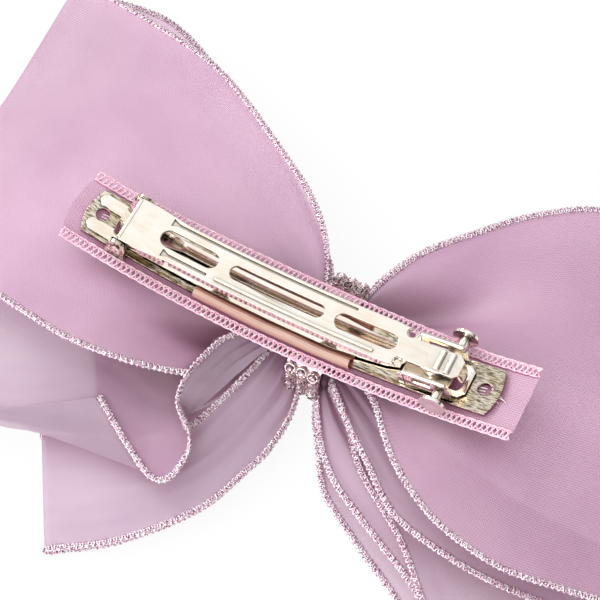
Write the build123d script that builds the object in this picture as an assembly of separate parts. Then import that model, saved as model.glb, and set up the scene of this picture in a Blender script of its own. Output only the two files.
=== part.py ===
from build123d import *
import os
from math import asin, cos, degrees, pi, sin, sqrt

os.makedirs("parts", exist_ok=True)

# Frame: millimetres, +Z up. The bow lies on its face on z = 0 and the barrette is on top.
# X runs along the barrette from its hinge (-X) to its catch (+X). The origin is on the floor
# under the bow's centre. The barrette is drawn about its own middle and set barrette_x away.

# ---------------------------------------------------------------- driving dimensions
barrette_x = -6.5        # middle of the barrette, from the bow's centre
seat_z = 16.4            # underside of the backing ribbon at the middle
curve_radius = 132.0     # the barrette's curve, hollow side up
ribbon_thick = 0.4
wrap_thick = 0.3
wrap_hinge_x = -16.6     # ends of the sheer wrap round the middle of the plate
wrap_catch_x = 14.4
film_gap = 0.05          # air between flat layers that lie on each other

base_length = 80.0
base_half_width = 4.5
base_thick = 0.7
end_bulge = 1.0          # the plate's ends are this much longer in the middle than at the corners
sewing_hole_radius = 1.25
sewing_hole_x = 37.15

hinge_x = 32.0           # distance of the hinge's foot from the middle
hinge_height = 3.1       # pivot above the base plate
trunnion_radius = 0.6
trunnion_clearance = 0.05
ear_thick = 0.6
ear_inner_y = 4.75

arm_radius = 186.0
arm_gap = 5.8            # arm's underside above the base plate, at the middle
arm_thick = 0.5
arm_half_width = 4.0
arm_head_half_width = 4.55
tongue_half_width = 2.25
fold_line_x = -31.4      # where the arm's end flange is folded down
flange_reach = 2.1
flange_drop = 2.3
groove_depth = 0.3
slots = ((-19.4, 11.2, 3.4), (-2.25, 18.3, 2.8), (14.9, 11.8, 3.2))   # middle, length, width

leaf_radius = 153.8
leaf_gap = 0.8           # leaf's underside above the base plate, at the middle
leaf_thick = 0.35
leaf_half_width = 3.2

catch_x = 28.5           # middle of the catch
wing_inner_y = 3.6
wing_thick = 0.45
wing_height = 4.6
button_radius = 2.4
button_y = 7.0
button_x = 31.2
button_thick = 0.55
neck_radius = 0.85
neck_z = 2.6             # middle of the buttons above the base plate
window_x = 32.7          # D-shaped opening under the tongue's tip
rivet_x = 27.6
rivet_radius = 0.8

strip_hinge_x = -41.8    # ends of the backing ribbon, past the plate's ends
strip_catch_x = 44.6
strip_half_width = 7.1
edge_width = 1.5         # overlocked edge of the backing ribbon
stitch_radius = 0.15
stitch_length = 1.7
stitch_pitch = 0.6

fold_x = 82.0            # outer folds of the two main loops
bow_half_depth = 56.0    # the bow's furthest points in Y
loop_wall = 0.6
main_loop_tilt = 8.5     # the main loops slope down towards +Y
panel_thick = 0.5
panel_z = 8.1            # the single layers between main and lower loops

knot_half_x = 4.2        # the gathered ribbon inside the rhinestone band
knot_low_y = -7.0
knot_high_y = 12.0
knot_low_z = 5.6
knot_high_z = 14.6
band_half_x = 3.3
band_thick = 0.8
band_corner = 3.4        # outer radius of the band's four corners
cup_radius = 1.0
cup_height = 0.9
cup_pitch = 2.2

# ---------------------------------------------------------------- worked-out levels
curve_z = seat_z + curve_radius
strip_inner_radius = curve_radius - ribbon_thick
base_outer_radius = strip_inner_radius - wrap_thick - 2 * film_gap
base_inner_radius = base_outer_radius - base_thick
base_top_z = curve_z - base_inner_radius
arm_under_z = base_top_z + arm_gap
leaf_under_z = base_top_z + leaf_gap
ear_outer_y = ear_inner_y + ear_thick
wing_outer_y = wing_inner_y + wing_thick
button_face_y = button_y - 0.3   # inner face of the finger buttons


def save(shape, name):
    """Write one node's STEP file."""
    shape.label = name
    export_step(shape, f"parts/{name}.step")


def save_on_barrette(shape, name):
    """The same, for a node drawn about the barrette's middle."""
    save(Pos(barrette_x, 0, 0) * shape, name)


def box_between(x0, x1, y0, y1, z0, z1):
    """A box from one corner to the opposite one."""
    middle = ((x0 + x1) / 2, (y0 + y1) / 2, (z0 + z1) / 2)
    return Pos(*middle) * Box(x1 - x0, y1 - y0, z1 - z0)


def arc_band(outer_radius, inner_radius, centre_z, x0, x1, y0, y1):
    """A plate bent round a Y axis at centre_z, hollow side up, from x0 to x1 and y0 to y1."""
    width = y1 - y0
    ring = Cylinder(outer_radius, width) - Cylinder(inner_radius, width + 1)
    ring = Pos(0, (y0 + y1) / 2, centre_z) * (Rot(90, 0, 0) * ring)
    return ring & box_between(x0, x1, y0 - 1, y1 + 1, 0, centre_z - outer_radius / 2)


def prism(points, z0, z1):
    """A straight prism over a plan outline given as corner points."""
    face = make_face(Polyline(*points, close=True))
    return Pos(0, 0, z0) * extrude(face, z1 - z0)


def base_frame(x, height=0.0):
    """A frame standing on the base plate's upper face at x: its X along the plate, its Z square to it."""
    angle = asin(x / base_inner_radius)
    reach = base_inner_radius - height
    return Plane(
        origin=(reach * sin(angle), 0, curve_z - reach * cos(angle)),
        x_dir=(cos(angle), 0, sin(angle)),
        z_dir=(-sin(angle), 0, cos(angle)),
    )


def y_rod(radius, y0, y1):
    """A round rod along Y, centred on the frame's Y axis."""
    return Pos(0, (y0 + y1) / 2, 0) * (Rot(90, 0, 0) * Cylinder(radius, y1 - y0))


# ---------------------------------------------------------------- base plate
def base_plate():
    """Curved plate with bowed ends, hinge ears, two sewing holes and a D-shaped window at the catch."""
    half = base_length / 2
    corner = half - end_bulge
    w = base_half_width
    plan = make_face([
        Line((-corner, -w), (corner, -w)), ThreePointArc((corner, -w), (half, 0), (corner, w)),
        Line((corner, w), (-corner, w)), ThreePointArc((-corner, w), (-half, 0), (-corner, -w)),
    ])
    plate = arc_band(base_outer_radius, base_inner_radius, curve_z, -half, half, -6, 6)
    foot = box_between(-hinge_x - 1.9, -hinge_x + 1.9, -ear_outer_y, ear_outer_y, 0, 40)
    plate = plate & (extrude(plan, 40) + foot)

    hinge = base_frame(-hinge_x)
    for side in (-1, 1):
        low_y, high_y = sorted((side * ear_inner_y, side * ear_outer_y))
        post = box_between(-1.75, 1.75, low_y, high_y, -base_thick / 2, hinge_height)
        post += Pos(0, 0, hinge_height) * y_rod(1.75, low_y, high_y)
        hole = Pos(0, 0, hinge_height) * y_rod(trunnion_radius + trunnion_clearance, low_y - 1, high_y + 1)
        plate += hinge.location * (post - hole)

    for x in (-sewing_hole_x, sewing_hole_x):
        plate -= base_frame(x).location * Cylinder(sewing_hole_radius, 6)
    plate -= base_frame(window_x).location * catch_window()
    return plate - base_frame(rivet_x).location * Cylinder(rivet_radius, 6)


def catch_window():
    """The D-shaped opening under the tip of the tongue, cut through bracket and base alike."""
    flat_part = box_between(-1.1, 0.2, -2.2, 2.2, -2, 2)
    round_part = Pos(0.2, 0, 0) * scale(Cylinder(2.2, 4), by=(0.45, 1, 1))
    return flat_part + round_part


# ---------------------------------------------------------------- spring leaf
def spring_leaf():
    """Thin forked leaf: two prongs lie on the base beyond the hinge, the rest arches over it."""
    centre_z = leaf_under_z + leaf_radius
    plan = [
        (-33.2, -leaf_half_width), (10.0, -leaf_half_width), (20.0, -2.2), (22.4, -1.6),
        (22.4, 1.6), (20.0, 2.2), (10.0, leaf_half_width), (-33.2, leaf_half_width),
    ]
    slot = [(-27.0, 0), (-21.5, 1.15), (8.0, 1.15), (15.5, 0), (8.0, -1.15), (-21.5, -1.15)]
    leaf = arc_band(leaf_radius, leaf_radius - leaf_thick, centre_z, -33.2, 22.4, -5, 5)
    leaf = leaf & (prism(plan, 0, 40) - prism(slot, 0, 40))

    lying_radius = base_inner_radius - film_gap
    prong_outer = -37.6
    for side in (-1, 1):
        middle_y = side * 2.55
        prong = arc_band(lying_radius, lying_radius - leaf_thick, curve_z, prong_outer - 2, -32.6,
                         middle_y - 1.2, middle_y + 1.2)
        outline = box_between(prong_outer, -32.6, middle_y - 1.2, middle_y + 1.2, 0, 40)
        outline += Pos(prong_outer, middle_y, 20) * Cylinder(1.2, 40)
        outline -= Pos(-sewing_hole_x, 0, 20) * Cylinder(sewing_hole_radius + 0.25, 40)
        leaf += prong & outline

    leaf_end_z = centre_z - sqrt(leaf_radius**2 - 22.0**2)
    base_end_z = curve_z - sqrt(base_inner_radius**2 - 22.0**2)
    leaf += box_between(21.9, 22.3, -1.5, 1.5, base_end_z + 2 * film_gap, leaf_end_z + 0.1)
    return leaf


# ---------------------------------------------------------------- clamp arm
def arm_z(x):
    """Height of the arm's underside at x."""
    return arm_under_z + arm_radius - sqrt(arm_radius**2 - x**2)


def arm_sheet(x0, x1, drop, rise, half_width):
    """A band that follows the arm's curve, from drop below its underside to rise above it."""
    centre_z = arm_under_z + arm_radius
    return arc_band(arm_radius + drop, arm_radius - rise, centre_z, x0, x1, -half_width, half_width)


def slot_prism(x, length, width):
    """An obround opening along X, cut straight down."""
    return Pos(x, 0, 20) * extrude(SlotOverall(length, width), 20, both=True)


def clamp_arm():
    """Pressed arm: head with end flange, cheeks and trunnions; ribbed body; shoulders; latch tongue."""
    head = arm_head_half_width
    body = arm_half_width
    plan = [
        (fold_line_x, -head + 0.4), (fold_line_x + 0.4, -head), (-27.5, -head), (-21.5, -body), (19.5, -body), (22.6, -3.7),
        (23.6, -tongue_half_width), (31.6, -tongue_half_width), (32.6, -1.3),
        (32.6, 1.3), (31.6, tongue_half_width), (23.6, tongue_half_width),
        (22.6, 3.7), (19.5, body), (-21.5, body), (-27.5, head), (fold_line_x + 0.4, head), (fold_line_x, head - 0.4),
    ]
    arm = arm_sheet(-33.5, 33, 0, arm_thick, 6) & prism(plan, 0, 60)

    # side flanges, turned down along the body
    for side in (-1, 1):
        low_y, high_y = sorted((side * (body - 0.45), side * body))
        flange = arm_sheet(-21.6, 19.6, 1.0, 0.1, 6) & box_between(-30, 30, low_y, high_y, 0, 60)
        arm += flange
    arm += arm_sheet(-13.0, 17.5, -0.1, arm_thick + 0.3, 6) & box_between(-30, 30, -3.15, -2.65, 0, 60)

    # stiffening grooves, a long one and a short one, each starting at a three-cornered dimple
    groove_floor = arm_sheet(-30, 30, groove_depth - arm_thick, arm_thick + 1, 6)
    for x0, x1, y in ((-23.1, 11.9, 3.2), (-22.1, -14.6, -2.9)):
        dimple = prism([(x0 - 1.3, y - 0.75), (x0 - 1.3, y + 0.75), (x0 + 0.6, y)], 0, 60)
        arm -= groove_floor & (box_between(x0, x1, y - 0.27, y + 0.27, 0, 60) + dimple)

    # three lengthwise slots
    for x, length, width in slots:
        arm -= slot_prism(x, length, width)

    # head: bowed end flange turned down, cheeks with two lobes, trunnions for the ears
    hinge = base_frame(-hinge_x, hinge_height)
    top_z = arm_z(fold_line_x) + arm_thick
    foot_x = fold_line_x - flange_reach
    side_view = make_face(Plane.XZ * Polyline(
        (fold_line_x, top_z), (foot_x, top_z - flange_drop), (foot_x + 0.4, top_z - flange_drop - 0.1),
        (fold_line_x + 0.5, top_z - arm_thick - 0.1), (fold_line_x + 0.5, top_z), close=True))
    bowed = make_face([
        ThreePointArc((foot_x + 0.6, -4.1), (foot_x, 0), (foot_x + 0.6, 4.1)),
        Polyline((foot_x + 0.6, 4.1), (fold_line_x + 1, 4.15), (fold_line_x + 1, -4.15), (foot_x + 0.6, -4.1)),
    ])
    arm += extrude(side_view, 6, both=True) & extrude(bowed, 60)
    for side in (-1, 1):
        low_y, high_y = sorted((side * (head - 0.5), side * head))
        lug = box_between(-1.3, 1.3, low_y, high_y, 0, 1.7)
        lug += y_rod(1.3, low_y, high_y)
        low_rod, high_rod = sorted((side * (head - 0.5), side * (ear_outer_y + 0.3)))
        lug += y_rod(trunnion_radius, low_rod, high_rod)
        arm += hinge.location * lug
        for x, radius in ((-26.6, 1.5), (-23.6, 1.3)):
            lobe = Pos(x, 0, arm_z(x) - 0.55) * y_rod(radius, low_y - side * 0.25, high_y - side * 0.25)
            lobe = lobe & box_between(-40, 0, -6, 6, 0, arm_z(x) + 0.2)
            arm += lobe

    # shoulder bumps, transverse ribs on the tongue, turned-down tip and the small hook below it
    for side in (-1, 1):
        bump = scale(Sphere(0.95), by=(1, 1, 0.7))
        arm += Pos(22.2, side * 3.0, arm_z(22.2) + arm_thick) * bump
    for x in (28.7, 30.5):
        bar = Pos(x, 0, arm_z(x) + arm_thick) * y_rod(0.5, -1.9, 1.9)
        arm += bar
    tip_slope = degrees(asin(32.3 / arm_radius))
    tip = box_between(-0.25, 0.25, -1.3, 1.3, -2.4, 0.2)
    arm += Pos(32.35, 0, arm_z(32.35) + 0.2) * (Rot(0, -tip_slope - 14, 0) * tip)
    arm += box_between(26.2, 26.7, -1.2, 1.2, arm_z(26.5) - 1.9, arm_z(26.5) + 0.2)
    return arm


# ---------------------------------------------------------------- catch
def catch_bracket():
    """Stamped floor plate on the base with two low stubs, from which the springy wings start."""
    outer = base_inner_radius - film_gap
    floor = arc_band(outer, outer - 0.45, curve_z, 22.9, 34.6, -wing_outer_y, wing_outer_y)
    corners = [(22.9, -2.8), (24.0, -4.05), (33.6, -3.2), (34.6, -2.2),
               (34.6, 2.2), (33.6, 3.2), (24.0, 4.05), (22.9, 2.8)]
    floor = floor & prism(corners, 0, 60)
    for side in (-1, 1):
        low_y, high_y = sorted((side * wing_inner_y, side * wing_outer_y))
        stub = box_between(-5.2, -4.15, low_y, high_y, 0.3, wing_height - 0.8)
        floor += base_frame(catch_x).location * stub
    floor -= base_frame(window_x).location * catch_window()
    return floor - base_frame(rivet_x).location * Cylinder(rivet_radius, 6)


def catch_rivet():
    """Round-headed rivet through bracket and base."""
    shank = Pos(0, 0, -0.05) * Cylinder(rivet_radius, base_thick + 0.5)
    dome = Pos(0, 0, 0.5) * scale(Sphere(1.25), by=(1, 1, 0.5))
    dome = dome & box_between(-2, 2, -2, 2, 0.51, 2)
    return base_frame(rivet_x).location * (shank + dome)


def catch_wing(side):
    """Springy cheek with a window, a rolled top edge, and the neck of its finger button."""
    low_y, high_y = sorted((side * wing_inner_y, side * wing_outer_y))
    outline = box_between(-4.0, 4.6, low_y, high_y, 0.85, wing_height)
    outline -= box_between(4.0, 6, low_y - 1, high_y + 1, wing_height - 1.1, 9)
    window = box_between(-2.6, 1.0, low_y - 1, high_y + 1, 1.9, wing_height - 1.0)
    wing = outline - window
    roll = Rot(0, 90, 0) * Cylinder(0.42, 7.9)
    wing += Pos(-0.05, side * (wing_outer_y - 0.1), wing_height) * roll
    neck_low, neck_high = sorted((side * (wing_outer_y - 0.1), side * button_face_y))
    wing += Pos(button_x - catch_x, 0, neck_z) * y_rod(neck_radius, neck_low, neck_high)
    return base_frame(catch_x).location * wing


def finger_button(side):
    """Dished round disc on the end of the wing's neck."""
    disc = Cylinder(button_radius, button_thick)
    dish = Pos(0, 0, 0.9) * scale(Sphere(1.9), by=(1, 1, 0.42))
    turned = Rot(-90 * side, 0, 0) * (disc - dish)
    place = Pos(button_x - catch_x, side * (button_face_y + button_thick / 2), neck_z)
    return base_frame(catch_x).location * (place * turned)


# ---------------------------------------------------------------- fabric on the barrette
def centre_wrap():
    """A strip of organza wrapped once round the middle of the base plate."""
    low = strip_inner_radius - film_gap
    high = base_inner_radius - film_gap - wrap_thick
    y = base_half_width + film_gap
    sleeve = arc_band(low, high, curve_z, wrap_hinge_x, wrap_catch_x, -y - wrap_thick, y + wrap_thick)
    hollow_low = base_outer_radius + film_gap / 2
    hollow_high = base_inner_radius - film_gap / 2
    return sleeve - arc_band(hollow_low, hollow_high, curve_z, wrap_hinge_x - 1, wrap_catch_x + 1, -y, y)


def backing_ribbon():
    """Flat ribbon under the base plate, following its curve."""
    y = strip_half_width - edge_width
    return arc_band(curve_radius, strip_inner_radius, curve_z, strip_hinge_x, strip_catch_x, -y, y)


def backing_edge(side):
    """Overlocked long edge of the backing ribbon, a little thicker than the cloth."""
    low_y, high_y = sorted((side * (strip_half_width - edge_width + film_gap), side * strip_half_width))
    return arc_band(curve_radius + 0.1, strip_inner_radius - 0.2, curve_z,
                    strip_hinge_x, strip_catch_x, low_y, high_y)


def ribbon_stitches(side):
    """Three short thread bars that tack the backing ribbon to the bow, seen down the plate's sewing hole."""
    bar = Rot(0, 90, 0) * Cylinder(stitch_radius, stitch_length)
    depth = base_thick + wrap_thick + 2 * film_gap - stitch_radius - film_gap / 2
    bars = [Pos(0, y, -depth) * bar for y in (-stitch_pitch, 0.0, stitch_pitch)]
    return base_frame(side * sewing_hole_x).location * Compound(bars)


# ---------------------------------------------------------------- the bow
def loop_section(start, start_z, length, mid_z, rise, drop):
    """Side view of a loop as a closed band: out along the back, round the fold, home along the front."""
    def skin(inset):
        back = ThreePointArc(
            (start, start_z + 1.1 - inset),
            (0.5 * (start + length), mid_z + rise - inset),
            (length - 2.5, mid_z + 0.55 * rise - inset),
        )
        fold = ThreePointArc(
            back @ 1,
            (length - inset, mid_z),
            (length - 2.5, mid_z - 0.55 * drop + inset),
        )
        front = ThreePointArc(
            fold @ 1,
            (0.5 * (start + length), mid_z - drop + inset),
            (start, start_z - 1.1 + inset),
        )
        return make_face([back, fold, front, Line(front @ 1, back @ 0)])

    return Plane.XZ * (skin(0) - skin(loop_wall))


def on_floor(shape):
    """Set a shape down on z = 0."""
    return Pos(0, 0, -shape.bounding_box().min.Z) * shape


def loop_body(section, plan_points, turn=0, tilt=0):
    """The side view drawn out across the ribbon's width, turned, tilted, trimmed to its plan, set down."""
    band = extrude(section, 75, both=True)
    return on_floor((Rot(tilt, 0, 0) * (Rot(0, 0, turn) * band)) & prism(plan_points, -20, 60))


def main_loop(side):
    """One of the two wide loops nearest the barrette."""
    section = loop_section(4.4, 12.0, fold_x, 12.6, 5.0, 5.5)
    plans = {
        -1: [(-4.4, -7), (-15.5, -19), (-31, -22.7), (-52, -21.5), (-84, -18), (-84, 50), (-68, 46.6),
             (-38.5, 39.4), (-21, 29.3), (-8, 19.3), (-4.4, 10)],
        1: [(4.4, -6), (15, -10), (23, -18.5), (35, -25), (46, -27), (62, -25), (84, -22),
            (84, bow_half_depth), (50, 52.5), (34, 46), (23, 38.8), (12, 27), (6.5, 17), (4.4, 10)],
    }
    return loop_body(section, plans[side], turn=0 if side > 0 else 180, tilt=-main_loop_tilt)


def lower_loop(side):
    """One of the two loops in front of the main ones, lying lower."""
    if side < 0:
        section = loop_section(-3, 6.2, 51, 4.1, 3.5, 4.0)
        plan = [(-1.5, -10.2), (1, -14), (-1, -25.5), (-5.3, -36), (-15, -47), (-26, -bow_half_depth),
                (-54, -10.2)]
        return loop_body(section, plan, turn=212)
    section = loop_section(4, 6.2, 60, 4.1, 3.5, 4.0)
    plan = [(1.5, -10.2), (10, -19.5), (18.2, -26.5), (32, -35), (47, -44.5), (62, -10.2)]
    return loop_body(section, plan, turn=335)


def middle_panel(side):
    """A single layer of ribbon between the loops, gently arched."""
    plans = {
        -1: [(-12, -10.2), (-17.5, -16), (-17, -21.5), (-12.5, -25.7), (-10.6, -30), (-11.5, -36),
             (-34, -37.6), (-50, -40), (-64, -37.5), (-66, -24), (-46, -14)],
        1: [(3.5, -10.2), (11.5, -13.5), (17.5, -18.2), (25, -24.4), (34, -27.4), (46, -28.7),
            (58, -28.2), (58, -13), (14, -10.2)],
    }
    radius = 900.0
    pipe = Cylinder(radius, 160) - Cylinder(radius - panel_thick, 170)
    crown_z = panel_z + panel_thick + (0.4 if side > 0 else 0)
    sheet = Pos(0, 0, crown_z - radius) * (Rot(90, 0, 0) * pipe)
    return sheet & prism(plans[side], 0, 20)


def knot_block(grow, half_x):
    """A block round the knot, grown on its four sides and rounded along X."""
    block = box_between(-half_x, half_x, knot_low_y - grow, knot_high_y + grow,
                        knot_low_z - grow, knot_high_z + grow)
    return fillet(block.edges().filter_by(Axis.X), band_corner - band_thick + grow)


def rhinestone_band():
    """Mesh band closed round the gathered centre."""
    return knot_block(band_thick, band_half_x) - knot_block(film_gap, band_half_x + 1)


def band_seat(s):
    """A frame on the band's outer face, s along its rounded outline from the middle of its top."""
    radius = band_corner
    half_y = (knot_high_y - knot_low_y) / 2 + band_thick - radius
    half_z = (knot_high_z - knot_low_z) / 2 + band_thick - radius
    bend = pi * radius / 2
    corners = ((half_y, half_z), (half_y, -half_z), (-half_y, -half_z), (-half_y, half_z))
    runs = (half_y, 2 * half_z, 2 * half_y, 2 * half_z, half_y)
    turn = 0.0
    for k, run in enumerate(runs):
        if s <= run or k == 4:
            along = s - (0 if k == 0 else half_y if k in (2, 4) else half_z)
            middle = ((0, half_z), (half_y, 0), (0, -half_z), (-half_y, 0), (0, half_z))[k]
            y = middle[0] + along * cos(turn) + radius * sin(turn)
            z = middle[1] - along * sin(turn) + radius * cos(turn)
            break
        s -= run
        if s <= bend:
            turn += s / radius
            y = corners[k][0] + radius * sin(turn)
            z = corners[k][1] + radius * cos(turn)
            break
        s -= bend
        turn += pi / 2
    place = (0, (knot_low_y + knot_high_y) / 2 + y, (knot_low_z + knot_high_z) / 2 + z)
    return Plane(origin=place, x_dir=(1, 0, 0), z_dir=(0, sin(turn), cos(turn)))


def stone_places():
    """Seats for the small stones: rows of three all round the band, but not under the barrette or the oval."""
    half_y = (knot_high_y - knot_low_y) / 2 + band_thick - band_corner
    half_z = (knot_high_z - knot_low_z) / 2 + band_thick - band_corner
    outline = 4 * (half_y + half_z) + 2 * pi * band_corner
    rows = int(outline / cup_pitch)
    places = []
    for k in range(rows):
        seat = band_seat((k + 0.5) * outline / rows)
        tip = seat.origin + seat.z_dir * (cup_height + 0.4)
        under_barrette = tip.Z > seat_z - 0.5 and tip.Y < strip_half_width + 1.2
        under_oval = abs(seat.origin.Y - (knot_low_y + knot_high_y) / 2) < 4.6 and seat.z_dir.Z < -0.9
        if not (under_barrette or under_oval):
            for i in (-1, 0, 1):
                places.append(Plane(seat.origin + seat.x_dir * i * cup_pitch, seat.x_dir, seat.z_dir))
    return places


def stone_cups():
    """Round claw cups that hold the small stones."""
    cup = Cylinder(cup_radius, cup_height) - Pos(0, 0, 0.25) * Cylinder(cup_radius - 0.2, cup_height)
    seated = Pos(0, 0, cup_height / 2) * cup
    return Compound([place.location * seated for place in stone_places()])


def small_stones():
    """Small round stones in the cups: a flat table on a faceted crown."""
    crown = loft([Plane.XY * RegularPolygon(cup_radius - 0.22, 8),
                  Plane.XY.offset(0.95) * RegularPolygon(0.45, 8)])
    seated = Pos(0, 0, 0.27) * crown
    return Compound([place.location * seated for place in stone_places()])


def centre_stone():
    """Large oval stone in the middle of the band's front."""
    front = knot_low_z - band_thick
    low = Plane((0, (knot_low_y + knot_high_y) / 2, front), x_dir=(1, 0, 0), z_dir=(0, 0, -1))
    high = low.offset(1.9)
    return loft([low * Ellipse(2.6, 3.3), high * Ellipse(1.5, 2.0)])


if __name__ == "__main__":
    save_on_barrette(base_plate(), "base_plate")
    save_on_barrette(spring_leaf(), "spring_leaf")
    save_on_barrette(clamp_arm(), "clamp_arm")
    save_on_barrette(catch_bracket(), "catch_bracket")
    save_on_barrette(catch_rivet(), "catch_rivet")
    for side, word in ((-1, "near"), (1, "far")):
        save_on_barrette(catch_wing(side), f"catch_wing_{word}")
        save_on_barrette(finger_button(side), f"finger_button_{word}")
        save_on_barrette(backing_edge(side), f"backing_edge_{word}")
    save_on_barrette(centre_wrap(), "centre_wrap")
    save_on_barrette(backing_ribbon(), "backing_ribbon")
    save_on_barrette(ribbon_stitches(-1), "stitches_hinge_end")
    save_on_barrette(ribbon_stitches(1), "stitches_catch_end")
    for side, word in ((-1, "left"), (1, "right")):
        save(main_loop(side), f"main_loop_{word}")
        save(middle_panel(side), f"middle_panel_{word}")
        save(lower_loop(side), f"lower_loop_{word}")
    save(knot_block(0, knot_half_x), "gathered_centre")
    save(rhinestone_band(), "rhinestone_band")
    save(stone_cups(), "stone_cups")
    save(small_stones(), "small_stones")
    save(centre_stone(), "centre_stone")
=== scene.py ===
from math import asin, cos, exp, pi, radians, sin

import bpy
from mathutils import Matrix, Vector, noise


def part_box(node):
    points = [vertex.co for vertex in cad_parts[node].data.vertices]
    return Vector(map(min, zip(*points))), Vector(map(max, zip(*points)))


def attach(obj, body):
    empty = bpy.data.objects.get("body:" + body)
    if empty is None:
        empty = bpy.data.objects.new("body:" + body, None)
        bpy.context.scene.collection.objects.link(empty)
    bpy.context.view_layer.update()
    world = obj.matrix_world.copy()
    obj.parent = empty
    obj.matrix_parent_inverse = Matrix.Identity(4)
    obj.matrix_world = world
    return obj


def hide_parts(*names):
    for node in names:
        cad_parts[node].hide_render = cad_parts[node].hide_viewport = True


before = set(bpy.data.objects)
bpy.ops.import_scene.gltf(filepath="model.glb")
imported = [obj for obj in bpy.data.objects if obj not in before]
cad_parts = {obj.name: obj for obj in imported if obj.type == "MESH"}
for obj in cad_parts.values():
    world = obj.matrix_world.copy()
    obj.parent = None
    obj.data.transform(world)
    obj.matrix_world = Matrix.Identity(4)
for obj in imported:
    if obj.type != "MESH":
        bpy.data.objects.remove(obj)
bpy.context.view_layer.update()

MM = 0.001

# ---------------------------------------------------------------- studio
# A sheet of white paper lit nearly to its own white, under a broad white ceiling. A dark band runs
# round the walls, so that polished metal shows dark lines. Two softboxes stand to the left.


def linear(colour):
    """A hex colour as a screen shows it, turned into the linear values that a shader takes."""
    parts = [int(colour[i:i + 2], 16) / 255 for i in (1, 3, 5)]
    return [p / 12.92 if p <= 0.04045 else ((p + 0.055) / 1.055) ** 2.4 for p in parts] + [1.0]


def add_node(tree, kind, settings=None, links=None):
    """Add one node, fill its properties and sockets from settings, and plug in the linked sockets."""
    added = tree.nodes.new(kind)
    for key, value in (settings or {}).items():
        if isinstance(key, int) or key in added.inputs:
            added.inputs[key].default_value = value
        else:
            setattr(added, key, value)
    for key, socket in (links or {}).items():
        tree.links.new(socket, added.inputs[key])
    return added


def colour_stops(ramp, stops):
    """Set a colour ramp to (place, hex colour) stops."""
    while len(ramp.color_ramp.elements) < len(stops):
        ramp.color_ramp.elements.new(1.0)
    for element, (place, colour) in zip(ramp.color_ramp.elements, stops):
        element.position = place
        element.color = linear(colour)


def new_material(name):
    """An empty node material."""
    material = bpy.data.materials.new(name)
    material.use_nodes = True
    material.node_tree.nodes.clear()
    return material


paper = new_material("white_paper")
tree = paper.node_tree
glow = add_node(tree, "ShaderNodeEmission", {"Color": linear("#FFFFFF"), "Strength": 1.0})
matt = add_node(tree, "ShaderNodeBsdfDiffuse", {"Color": linear("#FAFAFA")})
both = add_node(tree, "ShaderNodeMixShader", {0: 0.10}, {1: glow.outputs[0], 2: matt.outputs[0]})
add_node(tree, "ShaderNodeOutputMaterial", {}, {"Surface": both.outputs[0]})

floor_half = 1.5
floor_mesh = bpy.data.meshes.new("paper_floor")
floor_mesh.from_pydata([(-floor_half, -floor_half, 0), (floor_half, -floor_half, 0),
                        (floor_half, floor_half, 0), (-floor_half, floor_half, 0)], [], [(0, 1, 2, 3)])
floor_mesh.materials.append(paper)
floor = bpy.data.objects.new("paper_floor", floor_mesh)
floor.location.z = -0.2 * MM
bpy.context.scene.collection.objects.link(floor)

world = bpy.data.worlds.new("soft_studio")
world.use_nodes = True
tree = world.node_tree
tree.nodes.clear()
sky = add_node(tree, "ShaderNodeTexCoord")
height = add_node(tree, "ShaderNodeVectorMath", {"operation": "DOT_PRODUCT", 1: (-0.08, 0.04, 0.99)},
                  {0: sky.outputs["Generated"]})
walls = add_node(tree, "ShaderNodeValToRGB", {}, {"Fac": height.outputs["Value"]})
colour_stops(walls, [(0.0, "#E4E1DF"), (0.24, "#E4E1DF"), (0.30, "#453629"), (0.43, "#453629"),
                     (0.56, "#AAA5A1"), (0.90, "#FFFFFF")])
light = add_node(tree, "ShaderNodeBackground", {"Strength": 1.04}, {"Color": walls.outputs["Color"]})
add_node(tree, "ShaderNodeOutputWorld", {}, {"Surface": light.outputs[0]})
bpy.context.scene.world = world

softboxes = [((-0.50, 0.14, 0.36), 0.36, 1.7), ((-0.22, -0.42, 0.34), 0.6, 2.7)]    # place, width, watts
for number, (place, size, energy) in enumerate(softboxes):
    softbox_data = bpy.data.lights.new(f"softbox_{number}", "AREA")
    softbox_data.shape = "DISK"
    softbox_data.size = size
    softbox_data.energy = energy
    softbox = bpy.data.objects.new(f"softbox_{number}", softbox_data)
    softbox.location = place
    softbox.rotation_euler = (-softbox.location).to_track_quat("-Z", "Y").to_euler()
    bpy.context.scene.collection.objects.link(softbox)

camera_azimuth = radians(27.1)
camera_elevation = radians(63.25)
camera_distance = 280 * MM
aim = Vector((-6.5, 0, 24.4)) * MM
back = Vector((sin(camera_azimuth) * cos(camera_elevation), -cos(camera_azimuth) * cos(camera_elevation),
               sin(camera_elevation)))
right = Vector((cos(camera_azimuth), sin(camera_azimuth), 0))
camera_data = bpy.data.cameras.new("camera")
camera_data.sensor_width = 36
camera_data.lens = 97.3
camera_data.clip_start = 0.01
camera = bpy.data.objects.new("camera", camera_data)
camera.location = aim + back * camera_distance + right * 2.0 * MM - back.cross(right) * 0.57 * MM
camera.rotation_euler = (pi / 2 - camera_elevation, 0, camera_azimuth)
bpy.context.scene.collection.objects.link(camera)
bpy.context.scene.camera = camera
bpy.context.scene.view_settings.view_transform = "Standard"

# ---------------------------------------------------------------- the barrette's metal
# Base, spring leaf, clamp arm and catch are stamped from thin steel, tumbled bright and plated
# with a pale gold. The edges are rolled over by the stamping, and the faces are almost mirrors.


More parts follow.
